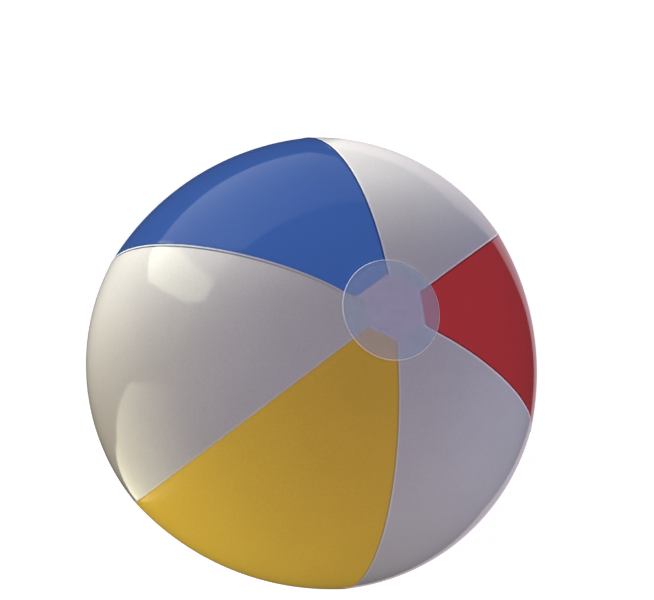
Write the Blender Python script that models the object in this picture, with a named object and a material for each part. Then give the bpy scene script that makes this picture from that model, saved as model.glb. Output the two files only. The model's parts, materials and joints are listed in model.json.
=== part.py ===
"""Inflatable beach ball: six gores of thin film, a round patch over each pole and a push-in valve.

Metres, +Z up. The origin is the point that the ball rests on, at the rear pole. +Z is the polar axis,
up towards the front end patch, and +Y points the way that the valve faces. The valve is stowed, pushed
in until its plug is level with the film.
"""

from math import asin, atan2, cos, exp, hypot, pi, radians, sin, sqrt

import bmesh
import bpy
from mathutils import Vector

# Skin: a ball of this kind is sold by the length of its flat gores, which is half its inflated girth
PANEL_LENGTH = 0.510
RADIUS = PANEL_LENGTH / pi
FLATTENING = 0.034  # of the poles towards each other, as a share of the radius
# How far the middle of a gore stands out from its seams at the equator, as a share of the radius
WHITE_BULGE = 0.008
COLOURED_BULGE = -0.0215
FILM = 0.0003
GAP = 0.0003  # kept between pieces that touch
CENTRE_Z = RADIUS * (1 - FLATTENING * 2 / 3) + GAP + FILM

# Gores: seams and gores are counted from the valve's gore, the way that longitude grows
VALVE_LONGITUDE = radians(90)
WHITE_WIDTH = radians(61.8)
PAIR_WIDTH = radians(120)
# How far each seam runs off its place sideways: where it meets the front patch, and half way to the equator
SEAM_DRIFT = (-0.0010, 0.0003, 0.0044, 0.0, -0.0006, -0.0015)
SEAM_BOW = (-0.0014, -0.0017, 0.0020, -0.0006, -0.0029, -0.0015)
DRIFT_FADE = radians(9)

# End patch, welded over the gore tips, which are cut straight across and leave a hexagonal hole
PATCH_ANGLE = radians(11.4)
FRONT_PATCH_SHIFT = (-0.0008, -0.0017)  # off the pole, along X and Y
TIP_ANGLE = radians(6.8)

# Valve: radii, then heights along its axis, counted outwards from the film at the valve's centre
VALVE_Y = RADIUS * (1 + FLATTENING / 3 + WHITE_BULGE)
FILM_HOLE_R = 0.0090
FLANGE_R = 0.0170
FLANGE_HOLE_R = 0.0080
FLANGE_TOP = -0.0010
FLANGE_THICKNESS = 0.0008
WEB_THICKNESS = 0.0005
WEB_TOP = -0.0011
WEB_BOTTOM = -0.0094
STEM_R = 0.0046
STEM_LIP_R = 0.0050
STEM_LIP_HEIGHT = 0.0009
BORE_R = 0.0032
STEM_TOP = -0.0011
STEM_BOTTOM = -0.0100
FLAP_R = 0.0042
FLAP_THICKNESS = 0.0005
PLUG_HEAD_R = 0.0062
PLUG_HEAD_HEIGHT = 0.0014
PEG_LENGTH = 0.0044
STRAP_WIDTH = 0.0016
STRAP_THICKNESS = 0.0007
STRAP_TURN = radians(230)
STRAP_DROP = 0.0020

# (name, colour, segments across, segments along), in order from the valve's gore
WHITE = (0.84, 0.83, 0.77)
GORES = (
    ("gore_white_valve", WHITE, 16, 40),
    ("gore_blue", (0.045, 0.125, 0.40), 10, 24),
    ("gore_white_left", WHITE, 10, 24),
    ("gore_yellow", (0.68, 0.45, 0.055), 10, 24),
    ("gore_white_right", WHITE, 10, 24),
    ("gore_red", (0.34, 0.020, 0.030), 10, 24),
)
CLEAR = (0.72, 0.75, 0.77)
GLOSS = 0.22  # roughness
PATCH_ALPHA = 0.6


def cleared():
    for ob in list(bpy.data.objects):
        bpy.data.objects.remove(ob)


def material(name, colour, alpha=1.0):
    made = bpy.data.materials.new(name)
    made.use_nodes = True
    shader = made.node_tree.nodes["Principled BSDF"]
    shader.inputs["Base Color"].default_value = (*colour, 1)
    shader.inputs["Roughness"].default_value = GLOSS
    shader.inputs["Metallic"].default_value = 0
    shader.inputs["Alpha"].default_value = alpha
    return made


def finished(name, bm, surface, axis, place=(0, 0, 0)):
    """The bmesh as an object in the valve's frame, smooth but for its sharp edges."""
    bmesh.ops.recalc_face_normals(bm, faces=bm.faces)
    mesh = bpy.data.meshes.new(name)
    bm.to_mesh(mesh)
    bm.free()
    mesh.shade_smooth()
    mesh.set_sharp_from_angle(angle=radians(35))
    mesh.materials.append(surface)
    ob = bpy.data.objects.new(name, mesh)
    bpy.context.scene.collection.objects.link(ob)
    ob.parent = axis
    ob.location = place
    return ob


def nominal_seam(k):
    """Longitude of seam k, where gore k begins, before it drifts."""
    first = VALVE_LONGITUDE - WHITE_WIDTH / 2
    return first + k // 2 * PAIR_WIDTH + k % 2 * WHITE_WIDTH


def seam_longitude(k, polar):
    past_patch = max(0, polar - PATCH_ANGLE)
    sideways = SEAM_DRIFT[k % 6] * exp(-past_patch / DRIFT_FADE) + SEAM_BOW[k % 6] * sin(2 * polar)
    return nominal_seam(k) + sideways / (RADIUS * max(sin(polar), 0.15))


def bulge(longitude):
    """How far the skin stands out from its seams at the equator, as a share of the radius."""
    along_pair = (longitude - nominal_seam(0)) % PAIR_WIDTH
    white = along_pair < WHITE_WIDTH
    width = WHITE_WIDTH if white else PAIR_WIDTH - WHITE_WIDTH
    across = 2 * (along_pair if white else along_pair - WHITE_WIDTH) / width - 1
    return (WHITE_BULGE if white else COLOURED_BULGE) * (1 - across * across)


def skin_point(longitude, polar, offset=0.0):
    """A point of the inflated skin, which is flattened at the poles and bulges between its seams."""
    swell = FLATTENING * (1 / 3 - cos(polar) ** 2) + bulge(longitude) * sin(polar) ** 2
    r = RADIUS * (1 + swell) + offset
    return (r * sin(polar) * cos(longitude), r * sin(polar) * sin(longitude), CENTRE_Z + r * cos(polar))


def rows_joined(bm, rows):
    for low, high in zip(rows, rows[1:]):
        for i in range(len(low) - 1):
            bm.faces.new((low[i], high[i], high[i + 1], low[i + 1]))


def faced_outwards(bm):
    """Turns the faces of an open surface away from the ball's centre."""
    bm.normal_update()
    for face in bm.faces:
        if face.normal.dot(face.calc_center_median() - Vector((0, 0, CENTRE_Z))) < 0:
            face.normal_flip()


def film_object(name, bm, surface):
    """An open surface as an object with the film's thickness, which goes inwards."""
    faced_outwards(bm)
    mesh = bpy.data.meshes.new(name)
    bm.to_mesh(mesh)
    bm.free()
    mesh.shade_smooth()
    mesh.materials.append(surface)
    ob = bpy.data.objects.new(name, mesh)
    bpy.context.scene.collection.objects.link(ob)
    film = ob.modifiers.new("film", "SOLIDIFY")
    film.thickness = FILM
    film.offset = -1
    film.use_even_offset = True
    return ob


def gore(k, name, colour, across, along):
    """Gore k from tip to tip, half a gap short of its seams."""
    width = nominal_seam(k + 1) - nominal_seam(k)
    bm = bmesh.new()
    rows = []
    for j in range(along + 1):
        row = []
        for i in range(across + 1):
            share = i / across
            tip = TIP_ANGLE / cos((share - 0.5) * width)
            polar = tip + (pi - 2 * tip) * j / along
            half_gap = asin(GAP / 2 / (RADIUS * sin(polar)))
            start = seam_longitude(k, polar) + half_gap
            end = seam_longitude(k + 1, polar) - half_gap
            row.append(bm.verts.new(skin_point(start + share * (end - start), polar)))
        rows.append(row)
    rows_joined(bm, rows)
    return film_object(name, bm, material(name, colour))


def end_patch(name, pole):
    """A round cap of film over a pole, which is 1 for the front one and -1 for the rear one."""
    around, rings = 48, 4
    shift = FRONT_PATCH_SHIFT if pole == 1 else (0, 0)
    bm = bmesh.new()
    rows = []
    for j in range(1, rings + 1):
        polar = PATCH_ANGLE * j / rings
        row = [bm.verts.new(patch_point(2 * pi * i / around, polar, pole, shift)) for i in range(around)]
        rows.append([*row, row[0]])
    rows_joined(bm, rows)
    apex = bm.verts.new(patch_point(0, 0, pole, shift))
    for i in range(around):
        bm.faces.new((apex, rows[0][i], rows[0][i + 1]))
    return film_object(name, bm, material(name, CLEAR, PATCH_ALPHA))


def patch_point(around, polar, pole, shift):
    """A point over the skin, at an angle and a direction from the middle of a patch that is off its pole."""
    x = RADIUS * sin(polar) * cos(around) + shift[0]
    y = RADIUS * sin(polar) * sin(around) + shift[1]
    x, y, z = skin_point(atan2(y, x), asin(hypot(x, y) / RADIUS), GAP + FILM)
    return (x, y, CENTRE_Z + pole * (z - CENTRE_Z))


def turned(outline, steps, closed=True):
    """A bmesh turned about local Z from (radius, height) points. An open outline ends on the axis."""
    bm = bmesh.new()
    verts = [bm.verts.new((r, 0, h)) for r, h in outline]
    pairs = list(zip(verts, verts[1:]))
    if closed:
        pairs.append((verts[-1], verts[0]))
    edges = [bm.edges.new(pair) for pair in pairs]
    bmesh.ops.spin(
        bm, geom=verts + edges, cent=(0, 0, 0), axis=(0, 0, 1), angle=2 * pi, steps=steps, use_merge=True
    )
    bmesh.ops.remove_doubles(bm, verts=bm.verts, dist=1e-7)
    return bm


def valve_frame():
    """An empty at the film's surface, its Z axis pointing out of the ball."""
    empty = bpy.data.objects.new("valve_axis", None)
    bpy.context.scene.collection.objects.link(empty)
    empty.location = (0, VALVE_Y, CENTRE_Z)
    empty.rotation_euler = (-pi / 2, 0, 0)
    return empty


def film_hole(ob, axis):
    """Cuts the round hole that the valve stands in."""
    depth = 0.02
    cutter = finished(
        "film_hole_cutter",
        turned([(0, depth), (FILM_HOLE_R, depth), (FILM_HOLE_R, -depth), (0, -depth)], 32, closed=False),
        material("cutter", (0.5, 0.5, 0.5)),
        axis,
    )
    cutter.hide_render = True
    cutter.display_type = "WIRE"
    cut = ob.modifiers.new("valve_hole", "BOOLEAN")
    cut.operation = "DIFFERENCE"
    cut.solver = "EXACT"
    cut.object = cutter


def dish(r, top):
    """Height of the ball's curve at radius r from the valve's axis, for a layer whose centre is at top."""
    ball = VALVE_Y + top
    return top - ball + sqrt(ball * ball - r * r)


def valve_flange(axis):
    """Ring welded to the inside of the film, dished to the ball's curve."""
    steps = 4
    radii = [FLANGE_HOLE_R + (FLANGE_R - FLANGE_HOLE_R) * i / steps for i in range(steps + 1)]
    upper = [(r, dish(r, FLANGE_TOP)) for r in radii]
    lower = [(r, dish(r, FLANGE_TOP - FLANGE_THICKNESS)) for r in reversed(radii)]
    return finished("valve_flange", turned(upper + lower, 40), material("valve_flange", CLEAR), axis)


def valve_web(axis):
    """Thin cone from the flange down to the stem's foot. It turns inside out when the stem is pulled out."""
    top_r = FLANGE_HOLE_R - GAP
    foot_r = STEM_R + GAP
    outline = [
        (top_r, WEB_TOP),
        (foot_r + WEB_THICKNESS, WEB_BOTTOM),
        (foot_r, WEB_BOTTOM),
        (top_r - WEB_THICKNESS, WEB_TOP),
    ]
    return finished("valve_web", turned(outline, 40), material("valve_web", CLEAR), axis)


def valve_stem(axis):
    """Mouth tube with a thicker lip for the plug to sit on."""
    lip_foot = STEM_TOP - STEM_LIP_HEIGHT
    outline = [
        (BORE_R, STEM_TOP),
        (STEM_LIP_R, STEM_TOP),
        (STEM_LIP_R, lip_foot),
        (STEM_R, lip_foot - (STEM_LIP_R - STEM_R)),
        (STEM_R, STEM_BOTTOM),
        (BORE_R, STEM_BOTTOM),
    ]
    return finished("valve_stem", turned(outline, 32), material("valve_stem", CLEAR), axis)


def check_flap(axis):
    """Disc that air pressure holds shut against the stem's foot. Its origin is on its hinge line."""
    hinge_height = STEM_BOTTOM - GAP
    disc = turned([(0, 0), (FLAP_R, 0), (FLAP_R, -FLAP_THICKNESS), (0, -FLAP_THICKNESS)], 32, closed=False)
    bmesh.ops.translate(disc, verts=disc.verts, vec=(0, FLAP_R, 0))
    return finished("check_flap", disc, material("check_flap", CLEAR), axis, (0, -FLAP_R, hinge_height))


def plug(axis):
    """Stopper with a flat head over the stem's lip and a peg in its bore."""
    seat = STEM_TOP + GAP
    peg_r = BORE_R - GAP
    tip = 0.0004
    outline = [
        (0, PLUG_HEAD_HEIGHT),
        (PLUG_HEAD_R - tip, PLUG_HEAD_HEIGHT),
        (PLUG_HEAD_R, PLUG_HEAD_HEIGHT - tip),
        (PLUG_HEAD_R, 0),
        (peg_r, 0),
        (peg_r, tip - PEG_LENGTH),
        (peg_r - tip, -PEG_LENGTH),
        (0, -PEG_LENGTH),
    ]
    return finished("plug", turned(outline, 32, closed=False), material("plug", CLEAR), axis, (0, 0, seat))


def plug_strap(axis):
    """Band that ties the plug to the stem, coiled in the recess round the stem while the valve is stowed."""
    top = STEM_TOP - GAP - STRAP_WIDTH / 2
    under_head_r = PLUG_HEAD_R - STRAP_THICKNESS
    at_stem_r = STEM_R + GAP + STRAP_THICKNESS / 2
    steps = 30
    bm = bmesh.new()
    rings = []
    for i in range(steps + 1):
        t = i / steps
        r = under_head_r + (at_stem_r - under_head_r) * t ** 4
        height = top - STRAP_DROP * t
        turn = STRAP_TURN * t
        corners = ((-1, -1), (1, -1), (1, 1), (-1, 1))
        ring = []
        for side, end in corners:
            at = r + side * STRAP_THICKNESS / 2
            ring.append(bm.verts.new((at * sin(turn), -at * cos(turn), height + end * STRAP_WIDTH / 2)))
        rings.append([*ring, ring[0]])
    rows_joined(bm, rings)
    for end in (rings[0], rings[-1]):
        bm.faces.new(end[:4])
    return finished("plug_strap", bm, material("plug_strap", CLEAR), axis)


def main():
    cleared()
    axis = valve_frame()
    gores = [gore(k, *row) for k, row in enumerate(GORES)]
    film_hole(gores[0], axis)
    end_patch("end_patch_front", 1)
    end_patch("end_patch_rear", -1)
    for piece in (valve_flange, valve_web, valve_stem, check_flap, plug, plug_strap):
        piece(axis)


main()
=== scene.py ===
"""Inflatable beach ball: the finished surfaces, the studio and the camera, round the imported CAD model.

Metres, +Z up. The ball rests on the floor at the origin, +Z is its polar axis and +Y the way that the
valve faces. Studio places are given in the camera's axes, (right, up, back), from the ball's centre.
"""

import json
from math import asin, atan2, cos, exp, hypot, pi, radians, sin, sqrt

import bmesh
import bpy
from mathutils import Matrix, Vector, noise

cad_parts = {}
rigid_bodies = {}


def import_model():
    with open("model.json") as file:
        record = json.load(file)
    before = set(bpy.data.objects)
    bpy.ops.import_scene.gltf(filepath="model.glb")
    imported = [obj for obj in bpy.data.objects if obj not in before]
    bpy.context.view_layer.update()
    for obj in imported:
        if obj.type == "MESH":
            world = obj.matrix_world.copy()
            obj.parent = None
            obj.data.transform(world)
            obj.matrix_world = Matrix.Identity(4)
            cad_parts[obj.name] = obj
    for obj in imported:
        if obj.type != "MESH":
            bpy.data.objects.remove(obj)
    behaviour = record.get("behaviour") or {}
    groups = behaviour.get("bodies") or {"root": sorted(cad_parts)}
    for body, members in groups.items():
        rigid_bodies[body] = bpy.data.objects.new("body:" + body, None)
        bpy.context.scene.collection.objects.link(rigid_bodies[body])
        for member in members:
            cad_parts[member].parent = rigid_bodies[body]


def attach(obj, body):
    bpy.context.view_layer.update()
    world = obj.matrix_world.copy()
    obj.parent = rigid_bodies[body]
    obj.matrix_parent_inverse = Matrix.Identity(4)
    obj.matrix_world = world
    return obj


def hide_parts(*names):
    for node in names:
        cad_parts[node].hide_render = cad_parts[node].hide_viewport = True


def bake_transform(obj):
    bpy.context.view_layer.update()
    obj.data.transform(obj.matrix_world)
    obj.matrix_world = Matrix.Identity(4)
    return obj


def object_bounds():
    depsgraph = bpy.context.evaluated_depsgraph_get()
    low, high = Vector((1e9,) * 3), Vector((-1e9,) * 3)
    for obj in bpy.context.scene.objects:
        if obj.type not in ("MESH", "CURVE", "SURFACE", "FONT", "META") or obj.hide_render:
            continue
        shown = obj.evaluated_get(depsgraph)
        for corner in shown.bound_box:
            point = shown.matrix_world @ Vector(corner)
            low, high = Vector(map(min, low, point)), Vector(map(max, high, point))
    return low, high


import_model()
cad_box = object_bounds()

# The skin, as the CAD has it
FILM = 0.0003
GAP = 0.0003
FLATTENING = 0.034
WHITE_BULGE = 0.008
COLOURED_BULGE = -0.0215
CENTRE_Z = cad_box[1].z / 2
RADIUS = (CENTRE_Z - FILM - GAP) / (1 - FLATTENING * 2 / 3)
VALVE_LONGITUDE = radians(90)
WHITE_WIDTH = radians(61.8)
PAIR_WIDTH = radians(120)
SEAM_DRIFT = (-0.0010, 0.0003, 0.0044, 0.0, -0.0006, -0.0015)
SEAM_BOW = (-0.0014, -0.0017, 0.0020, -0.0006, -0.0029, -0.0015)
DRIFT_FADE = radians(9)
PATCH_ANGLE = radians(11.4)
FRONT_PATCH_SHIFT = (-0.0008, -0.0017)
TIP_ANGLE = radians(6.8)
CENTRE = Vector((0, 0, CENTRE_Z))

# The valve, as the CAD has it: radii, then heights along its axis from the film
VALVE_Y = RADIUS * (1 + FLATTENING / 3 + WHITE_BULGE)
VALVE = Vector((0, VALVE_Y, CENTRE_Z))
FILM_HOLE_R = 0.0090
FLANGE_R = 0.0170
FLANGE_HOLE_R = 0.0080
FLANGE_TOP = -0.0010
FLANGE_THICKNESS = 0.0008
WEB_TOP = -0.0011
WEB_BOTTOM = -0.0094
WEB_THICKNESS = 0.0005
WEB_FOLD = 0.00035
STEM_R = 0.0046
STEM_LIP_R = 0.0050
BORE_R = 0.0032
STEM_TOP = -0.0011
STEM_BOTTOM = -0.0100
LIP_HEIGHT = 0.0009
NECK_HEIGHT = 0.0013
GRIP_RINGS = (-0.0052, -0.0068)
GRIP_HALF_HEIGHT = 0.0003
GRIP_DEPTH = 0.0001
FLAP_R = 0.0042
FLAP_THICKNESS = 0.0005
PLUG_HEAD_R = 0.0062
PLUG_HEAD_HEIGHT = 0.0014
PEG_LENGTH = 0.0044
PEG_RINGS = (-0.0016, -0.0028)
PEG_RING_HALF_HEIGHT = 0.0004
PEG_RING_DEPTH = 0.0002
STRAP_WIDTH = 0.0016
STRAP_THICKNESS = 0.0007
STRAP_TURN = radians(180)
STRAP_DROP = 0.0020

# Welds and creases: the bead along each seam with a groove beside it, and the puckers that run away from it
SEAM_GAP = 0.00003
BEAD_HEIGHTS = (0.00020, 0.00028, 0.00022, 0.00006, 0.00012, 0.00020)
BEAD_WIDTH = 0.0005
GROOVE_SHARE = 0.25
GROOVE_PLACE = 2.2
PUCKER_HEIGHT = 0.00012
PUCKER_START = 0.0015
PUCKER_REACH = 0.007
PUCKER_LENGTH = 0.011
PUCKER_SEAM_STEP = 7.3
# Round the valve: the hole's rim turns in, the weld ring is pressed down, and a shoulder stands up past it
RIM_DEPTH = 0.00022
RIM_REACH = 0.00035
RING_DEPTH = 0.00016
RING_START = (FILM_HOLE_R + 0.0006, FILM_HOLE_R + 0.0013)
RING_END = (0.0164, 0.0172)
SHOULDER_HEIGHT = 0.00010
SHOULDER_R = 0.0176
SHOULDER_WIDTH = 0.0006
# The end patch: the wall and bead at its edge, the fine rings that the weld leaves, and its middle's sag
WALL_WIDTH = 0.0005
WALL_HEIGHT = 0.00050
WALL_FADE = 0.0028
PATCH_RING_HEIGHT = 0.00003
PATCH_RING_PITCH = 0.0019
PATCH_RINGS_START = (0.0012, 0.0022)
PATCH_RINGS_END = (0.0060, 0.0085)
PATCH_SAG = 0.00025
PATCH_SAG_EDGE = (0.45, 0.62)

# The mesh: places of its lines from a seam, from the valve's middle and, as shares, from a patch's middle
EDGE_LINES = (0.0, 0.0002, 0.0004, 0.0006, 0.0009, 0.0013, 0.0019, 0.0028, 0.0042)
MIDDLE_STEP = 0.0040
HOLE_LINES = (0.0, 0.00225, 0.0045, 0.00675, FILM_HOLE_R, 0.0093, 0.0097, 0.0103, 0.0115, 0.013, 0.0145,
              0.016, 0.0167, FLANGE_R, 0.0173, 0.018, 0.0195)
PAST_HOLE_LINES = 0.022
PATCH_LINES = (*(0.02 * i for i in range(1, 41)), *(0.80 + 0.0075 * i for i in range(1, 22)),
               *(0.960 + 0.002 * i for i in range(21)))
PATCH_SIDES = 144
# On the valve's gore the lines round the hole are rings. Farther out they square up, then follow the gore.
SQUARING = (0.019, 0.045)
FOLLOWING = (0.030, 0.055)

# Colours
WHITE = (0.64, 0.62, 0.60)
BLUE = (0.044, 0.110, 0.385)
YELLOW = (0.837, 0.527, 0.070)
RED = (0.378, 0.0300, 0.0405)
INSIDE = (0.62, 0.53, 0.64)
MILKY = (0.45, 0.55, 0.655)
BEAD = (0.94, 0.96, 1.00)
CLEAR = (0.56, 0.63, 0.68)
FLOOR = (0.40, 0.40, 0.40)
# The painted shade at a patch's edge, the bead's shadow outside it and its groove inside it, as a share of
# the colour that it lies on
PAINTED_SHADE_SHARE = 0.3
VINYL_IOR = 1.5
# (node, ink, how strongly the film mirrors)
GORES = (
    ("gore_white_valve", WHITE, 0.50),
    ("gore_blue", BLUE, 0.27),
    ("gore_white_left", WHITE, 0.50),
    ("gore_yellow", YELLOW, 0.03),
    ("gore_white_right", WHITE, 0.50),
    ("gore_red", RED, 0.40),
)
# Where two films lie over each other in a weld: the line's colour, its two edges from the seam in metres,
# and how far it covers the ink. For each seam, first on the gore before it and then on the gore after it.
# The pale lines are partly a painted highlight of the bead, and the dark lines partly a painted shade of
# the groove beside it.
WELD_INKS_AND_PAINTED_LIGHT = (
    ((((0.10, 0.012, 0.020), 0.0, 0.0011, 0.9),), (((0.96, 0.82, 0.84), 0.0, 0.0011, 1.0),)),
    ((((0.95, 0.98, 1.00), 0.0, 0.0013, 1.0),), (((0.012, 0.030, 0.120), 0.0, 0.0011, 1.0),)),
    ((((0.020, 0.050, 0.200), 0.0003, 0.0011, 0.7),),
     (((0.82, 0.92, 1.00), 0.0, 0.0008, 1.0), ((0.08, 0.09, 0.17), 0.0009, 0.0020, 1.0))),
    ((((0.80, 0.76, 0.66), 0.0, 0.0010, 0.5),), (((0.62, 0.44, 0.18), 0.0, 0.0008, 0.6),)),
    ((((0.50, 0.36, 0.14), 0.0, 0.0011, 0.9),), (((0.90, 0.82, 0.74), 0.0, 0.0010, 0.8),)),
    ((((0.98, 0.84, 0.86), 0.0, 0.0011, 1.0),), (((0.10, 0.012, 0.020), 0.0, 0.0011, 0.9),)),
)
# The weld lines, with their painted highlight and shade, reach their full strength this far from the end
# patch, and start at this share of it
WELD_FADE = (0.0, 0.100)
WELD_STARTS = (0.8, 0.75, 0.2, 0.8, 0.8, 0.9)

# Camera: the directions from the ball to it and to the picture's right
BACK = Vector((-0.1951, -0.3202, 0.9270)).normalized()
ACROSS = Vector((0.8871, 0.3455, 0.3061))
RIGHT = (ACROSS - BACK * BACK.dot(ACROSS)).normalized()
UP = BACK.cross(RIGHT)
CAMERA_DISTANCE = 5 * RADIUS
LENS = 60.55
SENSOR_WIDTH = 36
SHIFT = (0.0187, 0.0975)


# ---------------------------------------------------------------- the skin's shape


def smooth(low, high, x):
    """0 below low, 1 above high, and a smooth rise between them."""
    t = min(1, max(0, (x - low) / (high - low)))
    return t * t * (3 - 2 * t)


def nominal_seam(k):
    """Longitude of the seam before gore k, without its bow."""
    first = VALVE_LONGITUDE - WHITE_WIDTH / 2
    return first + k // 2 * PAIR_WIDTH + k % 2 * WHITE_WIDTH


def seam_longitude(k, polar):
    """Longitude of the seam before gore k at this polar angle."""
    past_patch = max(0, polar - PATCH_ANGLE)
    sideways = SEAM_DRIFT[k % 6] * exp(-past_patch / DRIFT_FADE) + SEAM_BOW[k % 6] * sin(2 * polar)
    return nominal_seam(k) + sideways / (RADIUS * max(sin(polar), 0.15))


def bulge(longitude):
    """How far the gore stands out of the ball here, as a share of its radius."""
    along_pair = (longitude - nominal_seam(0)) % PAIR_WIDTH
    white = along_pair < WHITE_WIDTH
    width = WHITE_WIDTH if white else PAIR_WIDTH - WHITE_WIDTH
    across = 2 * (along_pair if white else along_pair - WHITE_WIDTH) / width - 1
    return (WHITE_BULGE if white else COLOURED_BULGE) * (1 - across * across)


def direction(longitude, polar):
    return Vector((sin(polar) * cos(longitude), sin(polar) * sin(longitude), cos(polar)))


def skin_radius(longitude, polar):
    """Distance of the smooth skin from the ball's centre."""
    swell = FLATTENING * (1 / 3 - cos(polar) ** 2) + bulge(longitude) * sin(polar) ** 2
    return RADIUS * (1 + swell)


def weld_relief(to_seam, along, seam):
    """Height of the weld bead at a gore's edge, with the small puckers that run away from it."""
    height = BEAD_HEIGHTS[seam]
    bead = height * exp(-((to_seam / BEAD_WIDTH) ** 2))
    from_groove = to_seam - GROOVE_PLACE * BEAD_WIDTH
    groove = -GROOVE_SHARE * height * exp(-((from_groove / BEAD_WIDTH) ** 2))
    ripple = noise.noise(Vector((along / PUCKER_LENGTH, PUCKER_SEAM_STEP * seam, 0)))
    fade = exp(-to_seam / PUCKER_REACH) * (1 - exp(-to_seam / PUCKER_START))
    return bead + groove + PUCKER_HEIGHT * ripple * fade


def valve_relief(r):
    """Height of the film round the valve: its hole's rim turns in and the weld ring is pressed down."""
    rim = -RIM_DEPTH * exp(-max(0, r - FILM_HOLE_R) / RIM_REACH)
    ring = -RING_DEPTH * smooth(*RING_START, r) * (1 - smooth(*RING_END, r))
    shoulder = SHOULDER_HEIGHT * exp(-(((r - SHOULDER_R) / SHOULDER_WIDTH) ** 2))
    return rim + ring + shoulder


# ---------------------------------------------------------------- meshes


def mesh_object(name, points, faces, attributes=()):
    """A smooth-shaded mesh with a value for each point under each attribute's name."""
    mesh = bpy.data.meshes.new(name)
    mesh.from_pydata(points, [], faces)
    mesh.validate()
    for label, values in attributes:
        attribute = mesh.attributes.new(label, "FLOAT", "POINT")
        attribute.data.foreach_set("value", values)
    mesh.shade_smooth()
    ob = bpy.data.objects.new(name, mesh)
    bpy.context.scene.collection.objects.link(ob)
    return ob


def shell(name, outer, inner, cells, attributes):
    """A closed film from matching outer and inner points and the cells of the outer side."""
    n = len(outer)
    faces = list(cells)
    faces += [tuple(n + i for i in reversed(cell)) for cell in cells]
    ends = {}
    for cell in cells:
        for a, b in zip(cell, cell[1:] + cell[:1]):
            ends[a, b] = True
    for a, b in ends:
        if (b, a) not in ends:
            faces.append((b, a, n + a, n + b))
    sides = [0.0] * n + [1.0] * n
    doubled = [(label, list(values) * 2) for label, values in attributes]
    ob = mesh_object(name, [*outer, *inner], faces, [*doubled, ("inner", sides)])
    sharp = ob.data.attributes.new("sharp_edge", "BOOLEAN", "EDGE")
    rim = {i for pair in ends if pair[::-1] not in ends for i in pair}
    rim |= {n + i for i in rim}
    on_rim = [edge.vertices[0] in rim and edge.vertices[1] in rim for edge in ob.data.edges]
    sharp.data.foreach_set("value", on_rim)
    return ob


def beyond_patch(out, r):
    """How far a point of the skin lies outside the end patch's edge."""
    shift = FRONT_PATCH_SHIFT if out.z > 0 else (0, 0)
    return hypot(out.x * r - shift[0], out.y * r - shift[1]) - RADIUS * sin(PATCH_ANGLE)


def disc_cells(rings, around):
    """Faces of a disc: triangles round its middle point, then rings of four-sided ones."""
    cells = [(0, 1 + i, 1 + (i + 1) % around) for i in range(around)]
    for j in range(rings - 1):
        low, high = 1 + j * around, 1 + (j + 1) * around
        for i in range(around):
            after = (i + 1) % around
            cells.append((low + i, high + i, high + after, low + after))
    return cells


def lines_between(low, high, step):
    """Evenly spaced places from low to high, about a step apart."""
    count = max(1, round((high - low) / step))
    return [low + (high - low) * i / count for i in range(count + 1)]


def valve_lines(reach):
    """Places of the mesh's lines from the valve's middle out to reach, closer round the hole's weld."""
    outward = [*HOLE_LINES, *lines_between(PAST_HOLE_LINES, reach, MIDDLE_STEP)]
    return [-a for a in reversed(outward[1:])] + outward


def place_on_gore(k, kind, a, t, half_width):
    """Where column a of a gore crosses its row t: (polar angle, longitude, distance from the seam, width).

    The rows run from one straight-cut tip to the other, so a row's polar angle depends on the longitude.
    """
    middle = (nominal_seam(k) + nominal_seam(k + 1)) / 2
    aside = 0
    for _ in range(4):
        tip = TIP_ANGLE / cos(aside)
        polar = tip + (pi - 2 * tip) * t
        per_radian = RADIUS * sin(polar)
        start = seam_longitude(k, polar) + SEAM_GAP / per_radian
        end = seam_longitude(k + 1, polar) - SEAM_GAP / per_radian
        wide = (end - start) * per_radian
        edge = min(EDGE_LINES[-1], wide / 5)
        at = a * edge / EDGE_LINES[-1]
        if kind == "right":
            at = wide - at
        elif kind == "middle":
            at = edge + (wide - 2 * edge) * (0.5 + a / half_width / 2)
        longitude = start + at / per_radian
        aside = longitude - middle
    return polar, longitude, at, wide


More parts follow.
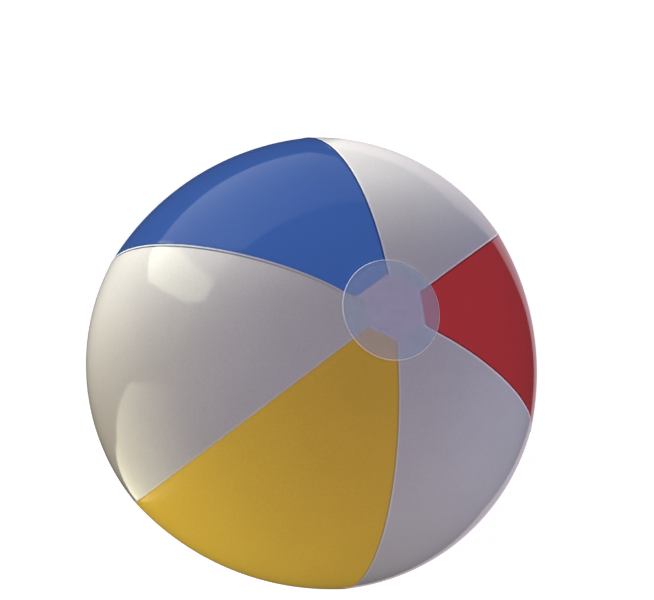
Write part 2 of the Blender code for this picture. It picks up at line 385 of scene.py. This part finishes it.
def gore(k, name, colour, mirroring):
    """One gore as a closed film, with fine lines along its seams and a ringed hole for the valve."""
    has_valve = k == 0
    width = nominal_seam(k + 1) - nominal_seam(k)
    middle = nominal_seam(k) + width / 2
    radius = skin_radius(middle, pi / 2)
    half_width = radius * width / 2 - EDGE_LINES[-1]
    half_length = radius * (pi / 2 - TIP_ANGLE)
    if has_valve:
        across, along = valve_lines(half_width), valve_lines(half_length)
    else:
        across = lines_between(-half_width, half_width, MIDDLE_STEP)
        along = lines_between(-half_length, half_length, MIDDLE_STEP)
    columns = [("left", e) for e in EDGE_LINES[:-1]]
    columns += [("middle", a) for a in across]
    columns += [("right", e) for e in reversed(EDGE_LINES[:-1])]
    outer, inner, starts, ends, rings, patches = [], [], [], [], [], []
    for b in along:
        t = 0.5 + b / half_length / 2
        for kind, a in columns:
            polar, longitude, at, wide = place_on_gore(k, kind, a, t, half_width)
            from_valve = 1.0
            if has_valve and kind == "middle":
                square, round_r = max(abs(a), abs(b)), hypot(a, b)
                near = 1 - smooth(*FOLLOWING, square)
                if near > 0 and round_r > 0:
                    grow = 1 + (1 - smooth(*SQUARING, square)) * (square / round_r - 1)
                    longitude = longitude * (1 - near) + near * (VALVE_LONGITUDE + a * grow / radius)
                    polar = polar * (1 - near) + near * (pi / 2 + b * grow / radius)
                    from_valve = round_r * grow
            to_seam = min(at, wide - at)
            seam = k if at < wide / 2 else k + 1
            raised = weld_relief(to_seam, polar * RADIUS, seam % 6)
            if has_valve:
                raised += valve_relief(from_valve)
            r = skin_radius(longitude, polar) + raised
            out = direction(longitude, polar)
            outer.append(CENTRE + out * r)
            inner.append(CENTRE + out * (r - FILM))
            starts.append(at)
            ends.append(wide - at)
            rings.append(from_valve)
            patches.append(beyond_patch(out, r))
    cells = []
    n = len(columns)
    first_middle = len(EDGE_LINES) - 1
    for j in range(len(along) - 1):
        for i in range(n - 1):
            if has_valve and first_middle <= i < n - first_middle - 1:
                corner = (*across[i - first_middle:i - first_middle + 2], *along[j:j + 2])
                if max(abs(a) for a in corner) <= FILM_HOLE_R + 1e-6:
                    continue
            low = j * n + i
            cells.append((low, low + n, low + n + 1, low + 1))
    used = sorted({i for cell in cells for i in cell})
    place = {old: new for new, old in enumerate(used)}
    cells = [tuple(place[i] for i in cell) for cell in cells]
    outer, inner = [outer[i] for i in used], [inner[i] for i in used]
    kept = {"to_start": starts, "to_end": ends, "from_valve": rings, "beyond_patch": patches}
    attributes = [(label, [values[i] for i in used]) for label, values in kept.items()]
    ob = shell(name + "_film", outer, inner, cells, attributes)
    finish_piece(ob, "ball", name, gore_material(k, name, colour, mirroring))


def finish_piece(ob, body, node, material):
    """Gives a piece its material, hides the CAD node that it stands for and, when a body is given, ties it
    to that body.
    """
    ob.data.materials.append(material)
    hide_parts(node)
    if body:
        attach(ob, body)


def end_patch(name, pole):
    """A round film over a pole, thickened to a bead round its edge and ringed by the weld."""
    shift = FRONT_PATCH_SHIFT if pole == 1 else (0, 0)
    outer, inner, edge = [], [], []

    def add(share, angle):
        x = RADIUS * sin(PATCH_ANGLE * share) * cos(angle) + shift[0]
        y = RADIUS * sin(PATCH_ANGLE * share) * sin(angle) + shift[1]
        longitude, polar = atan2(y, x), asin(hypot(x, y) / RADIUS)
        to_edge = (1 - share) * PATCH_ANGLE * RADIUS
        up_wall = min(1, to_edge / WALL_WIDTH)
        bead = WALL_HEIGHT * sqrt(1 - (1 - up_wall) ** 2) * (1 - smooth(WALL_WIDTH, WALL_FADE, to_edge))
        rings = PATCH_RING_HEIGHT * sin(to_edge / PATCH_RING_PITCH * 2 * pi)
        rings *= smooth(*PATCH_RINGS_START, to_edge) * (1 - smooth(*PATCH_RINGS_END, to_edge))
        sag = -PATCH_SAG * (1 - smooth(*PATCH_SAG_EDGE, share))
        r = skin_radius(longitude, polar) + GAP + rings + sag
        out = direction(longitude, polar)
        for points, height in ((outer, FILM + bead), (inner, 0)):
            p = out * (r + height)
            points.append(CENTRE + Vector((p.x, p.y, pole * p.z)))
        edge.append(to_edge)

    add(0, 0)
    for share in PATCH_LINES:
        for i in range(PATCH_SIDES):
            add(share, 2 * pi * i / PATCH_SIDES)
    cells = disc_cells(len(PATCH_LINES), PATCH_SIDES)
    if pole == -1:
        cells = [cell[::-1] for cell in cells]
    ob = shell(name + "_film", outer, inner, cells, [("to_edge", edge)])
    finish_piece(ob, "ball", name, patch_material(name))
    ob.visible_shadow = False


# ---------------------------------------------------------------- the valve


def turned(name, outline, steps=96):
    """A closed ring or disc, turned about the valve's axis from an outline of (radius, height) points."""
    points, faces = [], []
    for i in range(steps):
        angle = 2 * pi * i / steps
        for r, h in outline:
            points.append(VALVE + Vector((r * cos(angle), h, r * sin(angle))))
    n = len(outline)
    for i in range(steps):
        after = (i + 1) % steps
        for j in range(n):
            nxt = (j + 1) % n
            if outline[j][0] == 0 and outline[nxt][0] == 0:
                continue
            faces.append((i * n + j, i * n + nxt, after * n + nxt, after * n + j))
    ob = mesh_object(name, points, faces)
    return cleaned(ob)


def cleaned(ob):
    """Merges points that lie together, turns the faces outwards and keeps the corners crisp."""
    bm = bmesh.new()
    bm.from_mesh(ob.data)
    bmesh.ops.remove_doubles(bm, verts=bm.verts, dist=1e-7)
    bmesh.ops.dissolve_degenerate(bm, edges=bm.edges, dist=1e-8)
    bmesh.ops.recalc_face_normals(bm, faces=bm.faces)
    bm.to_mesh(ob.data)
    bm.free()
    ob.data.shade_smooth()
    ob.data.set_sharp_from_angle(angle=radians(40))
    return ob


def rounded(corners, radius, steps=4):
    """An outline with each corner turned into a small arc."""
    out = []
    n = len(corners)
    for i in range(n):
        before, corner, after = (Vector(corners[(i + d) % n]) for d in (-1, 0, 1))
        if corner.x == 0:
            out.append((corner.x, corner.y))
            continue
        reach = min(radius, (before - corner).length / 2.2, (after - corner).length / 2.2)
        start = corner + (before - corner).normalized() * reach
        end = corner + (after - corner).normalized() * reach
        for s in range(steps + 1):
            t = s / steps
            p = start * (1 - t) ** 2 + corner * 2 * t * (1 - t) + end * t * t
            out.append((p.x, p.y))
    return out


def dish(r, top):
    """Height of a round surface that follows the ball's skin, at this radius from the valve's axis."""
    ball = VALVE_Y + top
    return top - ball + sqrt(ball * ball - r * r)


def valve_piece(ob, body, node):
    finish_piece(ob, body, node, clear_material(node))


def valve_flange():
    """The ring that is welded to the film, dished like the ball."""
    steps = 12
    radii = [FLANGE_HOLE_R + (FLANGE_R - FLANGE_HOLE_R) * i / steps for i in range(steps + 1)]
    upper = [(r, dish(r, FLANGE_TOP)) for r in radii]
    lower = [(r, dish(r, FLANGE_TOP - FLANGE_THICKNESS)) for r in reversed(radii)]
    ob = turned("valve_flange_ring", upper + lower)
    valve_piece(ob, "ball", "valve_flange")


def valve_web():
    """The soft cone between flange and stem, in fine steps so that it follows the stem smoothly."""
    steps = 24
    top_r, foot_r = FLANGE_HOLE_R - GAP, STEM_R + GAP
    outside, inside = [], []
    for i in range(steps + 1):
        t = i / steps
        r = top_r - WEB_THICKNESS + (foot_r - top_r + WEB_THICKNESS) * t
        fold = WEB_FOLD * sin(pi * t)
        height = WEB_TOP + (WEB_BOTTOM - WEB_TOP) * t
        outside.append((r + WEB_THICKNESS + fold, height))
        inside.append((r + fold, height))
    ob = turned("valve_web_cone", outside + inside[::-1])
    valve_piece(ob, None, "valve_web")
    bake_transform(ob)


def valve_stem():
    """Mouth tube with a rolled lip and two soft grip rings."""
    neck_r = STEM_R - GRIP_DEPTH
    corners = [(BORE_R, STEM_TOP), (STEM_LIP_R, STEM_TOP), (STEM_LIP_R, STEM_TOP - LIP_HEIGHT)]
    corners += [(neck_r, STEM_TOP - NECK_HEIGHT)]
    for ring in GRIP_RINGS:
        corners += [(neck_r, ring + GRIP_HALF_HEIGHT), (STEM_R, ring), (neck_r, ring - GRIP_HALF_HEIGHT)]
    corners += [(STEM_R, STEM_BOTTOM + 0.0004), (STEM_R, STEM_BOTTOM), (BORE_R, STEM_BOTTOM)]
    ob = turned("valve_stem_tube", rounded(corners, 0.0003))
    valve_piece(ob, "stem", "valve_stem")


def check_flap():
    """The disc that lies over the stem's inner end."""
    top = STEM_BOTTOM - GAP
    corners = [(0, top), (FLAP_R, top), (FLAP_R, top - FLAP_THICKNESS), (0, top - FLAP_THICKNESS)]
    ob = turned("check_flap_disc", rounded(corners, 0.00015))
    valve_piece(ob, "flap", "check_flap")


def plug():
    """Stopper: a flat head with rounded edges over a ribbed peg."""
    seat = STEM_TOP + GAP
    peg_r = BORE_R - GAP
    waist_r = peg_r - PEG_RING_DEPTH
    top = seat + PLUG_HEAD_HEIGHT
    corners = [(0, top), (PLUG_HEAD_R, top), (PLUG_HEAD_R, seat), (peg_r, seat)]
    for ring in PEG_RINGS:
        above, below = seat + ring + PEG_RING_HALF_HEIGHT, seat + ring - PEG_RING_HALF_HEIGHT
        corners += [(waist_r, above), (peg_r, seat + ring), (waist_r, below)]
    corners += [(waist_r, seat - PEG_LENGTH), (0, seat - PEG_LENGTH)]
    ob = turned("plug_stopper", rounded(corners, 0.0004))
    valve_piece(ob, "stopper", "plug")


def plug_strap():
    """Band that ties the plug's head to the stem.

    It runs half way round the stem and is drawn out with the plug. It is tied to no body.
    """
    top = STEM_TOP - GAP - STRAP_WIDTH / 2
    under_head_r = PLUG_HEAD_R - STRAP_THICKNESS
    at_stem_r = STEM_R + GAP + STRAP_THICKNESS / 2
    steps, sides = 90, 16
    points, faces = [], []
    for i in range(steps + 1):
        t = i / steps
        r = under_head_r + (at_stem_r - under_head_r) * t ** 4
        height = top - STRAP_DROP * t
        turn = STRAP_TURN * t
        for s in range(sides):
            angle = 2 * pi * s / sides
            c, e = cos(angle), sin(angle)
            across = STRAP_THICKNESS / 2 * (abs(c) ** 0.5) * (1 if c > 0 else -1)
            along = STRAP_WIDTH / 2 * (abs(e) ** 0.5) * (1 if e > 0 else -1)
            at = r + across
            points.append(VALVE + Vector((at * sin(turn), height + along, at * cos(turn))))
    for i in range(steps):
        for s in range(sides):
            after = (s + 1) % sides
            low, high = i * sides, (i + 1) * sides
            faces.append((low + s, low + after, high + after, high + s))
    faces.append(tuple(range(sides)))
    faces.append(tuple(steps * sides + s for s in reversed(range(sides))))
    ob = cleaned(mesh_object("plug_strap_band", points, faces))
    valve_piece(ob, None, "plug_strap")
    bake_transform(ob)


# ---------------------------------------------------------------- materials


class Shader:
    """A material's nodes, made one call at a time."""

    def __init__(self, name):
        self.material = bpy.data.materials.new(name)
        self.material.use_nodes = True
        self.tree = self.material.node_tree
        self.surface = self.tree.nodes["Principled BSDF"]

    def node(self, kind, inputs=(), **settings):
        made = self.tree.nodes.new("ShaderNode" + kind)
        for key, value in settings.items():
            setattr(made, key, value)
        for socket, value in dict(inputs).items():
            self.feed(made.inputs[socket], value)
        return made

    def feed(self, socket, value):
        if isinstance(value, bpy.types.NodeSocket):
            self.tree.links.new(value, socket)
        else:
            socket.default_value = value

    def attribute(self, name):
        return self.node("Attribute", attribute_name=name).outputs["Fac"]

    def noise(self, length, detail=2.0, stretch=(1, 1, 1)):
        """Noise of about this length in metres, stretched along some axes."""
        place = self.node("TexCoord").outputs["Object"]
        scale = tuple(1 / (length * s) for s in stretch)
        at = self.node("Mapping", {"Vector": place, "Scale": scale})
        made = self.node("TexNoise", {"Vector": at.outputs[0], "Scale": 1.0, "Detail": detail})
        return made.outputs["Fac"]

    def maths(self, operation, a, b=0.0):
        return self.node("Math", {0: a, 1: b}, operation=operation).outputs[0]

    def ramp(self, value, low, high, to_low=0.0, to_high=1.0):
        """A value taken smoothly from one range to another."""
        inputs = {"Value": value, 1: low, 2: high, 3: to_low, 4: to_high}
        return self.node("MapRange", inputs, interpolation_type="SMOOTHSTEP").outputs[0]

    def band(self, value, low, high, soft, height):
        """Height between low and high, and nothing outside them."""
        up = self.ramp(value, low - soft, low + soft)
        return self.maths("MULTIPLY", up, self.ramp(value, high - soft, high + soft, height, 0.0))

    def mixed(self, factor, a, b, blend="MIX"):
        made = self.node("Mix", data_type="RGBA", blend_type=blend)
        self.feed(made.inputs[0], factor)
        self.feed(made.inputs[6], a)
        self.feed(made.inputs[7], b)
        return made.outputs[2]

    def bump(self, height, distance, normal=None):
        inputs = {"Height": height, "Distance": distance, "Strength": 1.0}
        if normal is not None:
            inputs["Normal"] = normal
        return self.node("Bump", inputs).outputs[0]


def rgba(colour, share=1.0):
    """A colour for a socket, darkened to this share of itself."""
    return (*(share * c for c in colour), 1.0)


def gore_material(k, name, colour, mirroring):
    """Glossy film: speckle in the ink, faint rolling marks and haze, the weld lines at its edges with a
    painted highlight and painted shade in them, and a painted shadow beside the end patch.
    """
    s = Shader(name + "_vinyl")
    to_start, to_end = s.attribute("to_start"), s.attribute("to_end")
    from_valve = s.attribute("from_valve")
    beyond = s.attribute("beyond_patch")
    speckle = s.ramp(s.noise(0.0012, 1.0), 0.25, 0.75, -1.0, 1.0)
    cloud = s.ramp(s.noise(0.045, 3.0), 0.25, 0.75, -1.0, 1.0)
    share = s.maths("ADD", s.maths("MULTIPLY", speckle, 0.035), s.maths("MULTIPLY", cloud, 0.02))
    shade = s.maths("ADD", share, 1.0)
    grey = s.node("CombineColor", {0: shade, 1: shade, 2: shade}).outputs[0]
    ink_and_painted_light = s.mixed(1.0, rgba(colour), grey, "MULTIPLY")
    # Weld lines: the colour of the overlapping films, partly a painted highlight on the bead and a painted
    # shade in its groove
    for edge, seam, side in ((to_start, k, 1), (to_end, (k + 1) % 6, 0)):
        strength = s.ramp(beyond, *WELD_FADE, WELD_STARTS[seam], 1.0)
        for line, low, high, cover in WELD_INKS_AND_PAINTED_LIGHT[seam][side]:
            share = s.maths("MULTIPLY", s.band(edge, low, high, 0.00015, cover), strength)
            ink_and_painted_light = s.mixed(share, ink_and_painted_light, rgba(line))
    # A painted shadow of the end patch's bead: a dark line on the gore just outside the patch's edge
    painted_patch_shadow = s.band(beyond, -0.0002, 0.0003, 0.0002, 0.25)
    ink_and_painted_light = s.mixed(painted_patch_shadow, ink_and_painted_light, rgba(colour, PAINTED_SHADE_SHARE))
    ink_and_painted_light = s.mixed(s.attribute("inner"), ink_and_painted_light, rgba(INSIDE))
    s.feed(s.surface.inputs["Base Color"], ink_and_painted_light)
    haze = s.ramp(s.noise(0.02, 4.0), 0.35, 0.75, 0.07, 0.11)
    scuff = s.ramp(s.noise(0.0016, 2.0, (1, 1, 14)), 0.66, 0.78, 0.0, 0.06)
    weld = s.ramp(s.maths("MINIMUM", to_start, to_end), 0.0008, 0.0013, 0.12, 0.0)
    ring = s.band(from_valve, 0.0101, 0.0168, 0.0003, 1.0)
    pressed = s.maths("ADD", weld, s.maths("MULTIPLY", ring, 0.12))
    s.feed(s.surface.inputs["Roughness"], s.maths("ADD", s.maths("ADD", haze, scuff), pressed))
    normal = s.bump(s.noise(0.0032, 2.0), 0.000005)
    normal = s.bump(s.noise(0.0050, 2.0, (1, 1, 22)), 0.000008, normal)
    normal = s.bump(s.maths("MULTIPLY", s.noise(0.0009, 0.0), ring), 0.00016, normal)
    s.feed(s.surface.inputs["Normal"], normal)
    s.surface.inputs["IOR"].default_value = VINYL_IOR
    s.surface.inputs["Specular IOR Level"].default_value = mirroring
    return s.material


def patch_material(name):
    """Milky clear film: it shows the gores' tips through a bluish veil, its welded bead is denser, and a
    painted shade darkens the groove just inside the bead.

    The outer side carries the veil, and the inner side is clear.
    """
    s = Shader(name + "_film")
    to_edge = s.attribute("to_edge")
    cloud = s.ramp(s.noise(0.010, 3.0), 0.3, 0.7, -0.03, 0.03)
    alpha = s.maths("ADD", s.ramp(to_edge, 0.0005, 0.0007, 0.80, 0.58), cloud)
    outside = s.ramp(s.attribute("inner"), 0.0, 1.0, 1.0, 0.0)
    s.feed(s.surface.inputs["Alpha"], s.maths("MULTIPLY", alpha, outside))
    veil_and_painted_shade = s.mixed(s.ramp(to_edge, 0.0005, 0.0007, 1.0, 0.0), rgba(MILKY), rgba(BEAD))
    # A painted shade of the groove just inside the bead
    veil_and_painted_shade = s.mixed(s.band(to_edge, 0.0008, 0.0013, 0.0002, 0.4), veil_and_painted_shade, rgba(MILKY, PAINTED_SHADE_SHARE))
    s.feed(s.surface.inputs["Base Color"], veil_and_painted_shade)
    s.feed(s.surface.inputs["Roughness"], s.ramp(s.noise(0.008, 3.0), 0.3, 0.7, 0.10, 0.18))
    s.feed(s.surface.inputs["Normal"], s.bump(s.noise(0.0030, 2.0), 0.000008))
    s.surface.inputs["IOR"].default_value = VINYL_IOR
    return s.material


def clear_material(name):
    """Soft moulded vinyl, nearly clear, with the dull skin of a mould."""
    s = Shader(name + "_soft_vinyl")
    cloud = s.ramp(s.noise(0.003, 3.0), 0.3, 0.7, -0.05, 0.05)
    s.feed(s.surface.inputs["Alpha"], s.maths("ADD", cloud, 0.86))
    tint = s.mixed(s.ramp(s.noise(0.006, 2.0), 0.3, 0.7), rgba(CLEAR), rgba(CLEAR, 0.9))
    s.feed(s.surface.inputs["Base Color"], tint)
    s.feed(s.surface.inputs["Roughness"], s.ramp(s.noise(0.002, 3.0), 0.3, 0.7, 0.22, 0.38))
    s.feed(s.surface.inputs["Normal"], s.bump(s.noise(0.0008, 2.0), 0.00002))
    s.surface.inputs["IOR"].default_value = VINYL_IOR
    return s.material


# ---------------------------------------------------------------- the studio

FLOOR_GLOW = 0.86
LAMP_DISTANCE = 2.0
LAMP_SIZE = 1.0
SCRIM_RADIUS = 0.22
SCRIM_REACH = (-0.012, -0.062)
SCRIM_SHARE = 0.38
SCRIM_SPREAD = 0.95
INSIDE_LAMP_ENERGY = 0.26
INSIDE_LAMP_R = 0.05
BACKDROP = (0.95, 0.97, 1.0)
BACKDROP_STRENGTH = 0.03
# Blue and red vinyl glows evenly with the light that it lets through, and white and yellow don't. So the
# lamps below name the pieces that they light: the opaque ones, the see-through films, or the yellow film.
SEE_THROUGH = ("gore_blue", "gore_red")
# (name, direction in camera axes, what it adds to a white surface that faces it, films)
LAMPS = (
    ("key", (-0.35, 0.89, -0.30), (2.08, 2.11, 2.05), "opaque"),
    ("low_right", (0.50, -0.86, 0.10), (0.295, 0.282, 0.281), "opaque"),
    ("right", (0.97, 0.15, -0.20), (0.257, 0.287, 0.433), "opaque"),
    ("left", (-0.97, 0.10, -0.20), (0.30, 0.246, 0.131), "opaque"),
    ("front_left", (-0.55, 0.15, 0.82), (0.207, 0.188, 0.230), "opaque"),
    ("front_right", (0.55, -0.15, 0.82), (0.164, 0.146, 0.215), "opaque"),
    ("below", (0.10, 0.00, -0.99), (0.45, 0.45, 0.47), "opaque"),
    ("low_left", (-0.93, -0.35, 0.10), (0.25, 0.30, 0.22), "yellow"),
    ("see_through_key", (-0.35, 0.89, -0.30), (0.22, 0.22, 0.22), "see_through"),
)
# An even light from all round, as two half skies: (name, direction, radiance, films)
SKIES = (
    ("see_through_sky_above", (0, 0, 1), (0.79, 0.79, 0.79), "see_through"),
    ("see_through_sky_below", (0, 0, -1), (0.79, 0.79, 0.79), "see_through"),
)
# (name, corners in camera axes, radiance, how it fades: axis, the two places, share left at the second)
PANELS = (
    ("window",
     ((-0.1, 2, -1.4), (0.42, 2, -0.6), (0.7, 2, 0.10), (-1.37, 2, 1.12), (-2.2, 2, 1.67), (-2.2, 2, -1.15),
      (-0.96, 2, -1.31)),
     (1.02, 1.10, 1.13), (RIGHT, -1.4, 0.4, 0.4)),
    ("window_end",
     ((-2.2, 2, -1.15), (-2.2, 2, 1.67), (-3.17, 2, 2.24), (-3.76, 2, 1.83), (-3.81, 2, 0.57),
      (-3.73, 2, -0.54), (-2.88, 2, -1.12)),
     (2.9, 3.05, 2.3), None),
    ("left_card",
     ((-2, -0.2, -0.15), (-2, -0.3, 1.5), (-2, -2.5, 2.0), (-2, -2.1, -0.9), (-2, -1.72, -3.6),
      (-2, -1.6, -4.45), (-2, -1.5, -4.4), (-2, -0.8, -1.3)),
     (1.90, 1.84, 1.36), (BACK, -0.6, 1.4, 0.0)),
    ("rim_card",
     ((0.1, -1.1, -2), (1.3, -1.1, -2), (1.3, -0.4, -2), (1.34, 0, -2), (1.45, 0.35, -2), (1.6, 0.6, -2),
      (1.72, 0.9, -2), (2.0, 2.1, -2), (0.1, 2.3, -2)),
     (0.54, 0.46, 0.50), None),
)


def in_world(place):
    """The world's place of a point given in camera axes from the ball's centre."""
    return CENTRE + RIGHT * place[0] + UP * place[1] + BACK * place[2]


def placed_lamp(name, kind, towards, colour, films):
    """A lamp that faces the ball, lights only these pieces and shows in no reflection."""
    data = bpy.data.lights.new(name, kind)
    data.color = [c / max(colour) for c in colour]
    lamp = bpy.data.objects.new(name, data)
    bpy.context.scene.collection.objects.link(lamp)
    lamp.location = in_world(Vector(towards).normalized() * LAMP_DISTANCE)
    lamp.rotation_euler = (lamp.location - CENTRE).to_track_quat("Z", "Y").to_euler()
    lamp.visible_glossy = False
    lamp.visible_camera = False
    lamp.light_linking.receiver_collection = bpy.data.collections[films]
    if name != "key":
        lamp.light_linking.blocker_collection = bpy.data.collections["pieces"]
    return data


def soft_lamp(name, towards, strength, films):
    """A round soft lamp."""
    data = placed_lamp(name, "AREA", towards, strength, films)
    data.shape = "DISK"
    data.size = LAMP_SIZE
    data.energy = max(strength) * pi ** 2 * LAMP_DISTANCE ** 2


def half_sky(name, towards, strength, films):
    """Even light from half of all directions."""
    data = placed_lamp(name, "SUN", towards, strength, films)
    data.angle = pi
    data.energy = max(strength) * pi


def sort_films():
    """A collection of the pieces that each kind of lamp lights, and one of all that cast shadows."""
    kinds = ("opaque", "see_through", "yellow", "pieces")
    films = {kind: bpy.data.collections.new(kind) for kind in kinds}
    for ob in bpy.context.scene.objects:
        if ob.type == "MESH":
            see_through = ob.name.removesuffix("_film") in SEE_THROUGH
            films["see_through" if see_through else "opaque"].objects.link(ob)
            films["pieces"].objects.link(ob)
    films["yellow"].objects.link(bpy.data.objects["gore_yellow_film"])


def scrim():
    """A dome of thin cloth behind the ball that tames the key light there, more so the farther back."""
    rings, around = 16, 64
    points = [in_world((0, 0, -SCRIM_RADIUS))]
    for j in range(1, rings + 1):
        angle = pi / 2 * SCRIM_SPREAD * j / rings
        for i in range(around):
            turn = 2 * pi * i / around
            place = (sin(angle) * cos(turn), sin(angle) * sin(turn), -cos(angle))
            points.append(in_world(SCRIM_RADIUS * Vector(place)))
    ob = mesh_object("key_scrim", points, disc_cells(rings, around))
    cloth = Shader("key_scrim")
    place = cloth.node("TexCoord").outputs["Object"]
    along = cloth.node("VectorMath", {0: place, 1: BACK}, operation="DOT_PRODUCT").outputs["Value"]
    low, high = (CENTRE.dot(BACK) + end for end in reversed(SCRIM_REACH))
    share = cloth.ramp(along, low, high, SCRIM_SHARE, 1.0)
    grey = cloth.node("CombineColor", {0: share, 1: share, 2: share}).outputs[0]
    clear = cloth.node("BsdfTransparent", {"Color": grey})
    cloth.feed(cloth.tree.nodes["Material Output"].inputs["Surface"], clear.outputs[0])
    ob.data.materials.append(cloth.material)
    for ray in ("camera", "diffuse", "glossy", "transmission"):
        setattr(ob, "visible_" + ray, False)


def glow_panel(name, corners, radiance, fade):
    """A flat panel that lights the ball and shows in its gloss, but not to the camera."""
    panel = mesh_object(name, [in_world(c) for c in corners], [tuple(range(len(corners)))])
    glow = Shader(name)
    strength = max(radiance)
    if fade:
        place = glow.node("TexCoord").outputs["Object"]
        axis, full, faded, left = fade
        along = glow.node("VectorMath", {0: place, 1: axis}, operation="DOT_PRODUCT").outputs["Value"]
        low, high = (CENTRE.dot(axis) + end for end in (full, faded))
        strength = glow.ramp(along, low, high, strength, strength * left)
    colour = rgba(tuple(c / max(radiance) for c in radiance))
    emission = glow.node("Emission", {"Color": colour, "Strength": strength})
    glow.feed(glow.tree.nodes["Material Output"].inputs["Surface"], emission.outputs[0])
    panel.data.materials.append(glow.material)
    panel.visible_camera = False
    panel.visible_shadow = False


def inner_glow():
    """A weak lamp inside the ball, for the light that the film lets through."""
    data = bpy.data.lights.new("inside", "POINT")
    data.energy = INSIDE_LAMP_ENERGY
    data.shadow_soft_size = INSIDE_LAMP_R
    lamp = bpy.data.objects.new("inside", data)
    bpy.context.scene.collection.objects.link(lamp)
    lamp.location = CENTRE
    lamp.visible_glossy = False
    lamp.visible_camera = False


def floor():
    """A pale floor that sweeps up to a wall all round."""
    flat, wall, height, around, bend = 1.6, 3.0, 2.6, 96, 24
    outline = [(0.0, 0.0), (0.5, 0.0), (1.0, 0.0)]
    for i in range(bend + 1):
        angle = pi / 2 * i / bend
        outline.append((flat + (wall - flat) * sin(angle), (wall - flat) * (1 - cos(angle))))
    outline.append((wall, height))
    points = [Vector((0, 0, 0))]
    for r, z in outline[1:]:
        for i in range(around):
            turn = 2 * pi * i / around
            points.append(Vector((r * cos(turn), r * sin(turn), z)))
    ob = mesh_object("studio_floor", points, disc_cells(len(outline) - 1, around))
    s = Shader("studio_floor")
    grain = s.ramp(s.noise(0.004, 2.0), 0.3, 0.7, 0.97, 1.03)
    grey = s.node("CombineColor", {0: grain, 1: grain, 2: grain}).outputs[0]
    s.feed(s.surface.inputs["Base Color"], s.mixed(1.0, rgba(FLOOR), grey, "MULTIPLY"))
    s.surface.inputs["Roughness"].default_value = 0.9
    s.surface.inputs["Specular IOR Level"].default_value = 0.0
    s.surface.inputs["Emission Color"].default_value = (1, 1, 1, 1)
    s.surface.inputs["Emission Strength"].default_value = FLOOR_GLOW
    ob.data.materials.append(s.material)
    ob.visible_glossy = False
    ob.visible_diffuse = False
    ob.visible_shadow = False


def surroundings():
    """A faint even light from outside the studio."""
    world = bpy.data.worlds.new("studio")
    bpy.context.scene.world = world
    world.use_nodes = True
    backdrop = world.node_tree.nodes["Background"]
    backdrop.inputs["Color"].default_value = rgba(BACKDROP)
    backdrop.inputs["Strength"].default_value = BACKDROP_STRENGTH


def camera():
    data = bpy.data.cameras.new("camera")
    data.lens = LENS
    data.sensor_width = SENSOR_WIDTH
    data.clip_start = 0.01
    data.shift_x, data.shift_y = SHIFT
    ob = bpy.data.objects.new("camera", data)
    bpy.context.scene.collection.objects.link(ob)
    axes = Matrix((RIGHT, UP, BACK)).transposed().to_4x4()
    ob.matrix_world = Matrix.Translation(CENTRE + BACK * CAMERA_DISTANCE) @ axes
    bpy.context.scene.camera = ob


def main():
    for k, looks in enumerate(GORES):
        gore(k, *looks)
    end_patch("end_patch_front", 1)
    end_patch("end_patch_rear", -1)
    for piece in (valve_flange, valve_web, valve_stem, check_flap, plug, plug_strap):
        piece()
    floor()
    surroundings()
    camera()
    sort_films()
    for lamp in LAMPS:
        soft_lamp(*lamp)
    for sky in SKIES:
        half_sky(*sky)
    for panel in PANELS:
        glow_panel(*panel)
    scrim()
    inner_glow()
    bpy.context.scene.view_settings.view_transform = "Standard"


main()
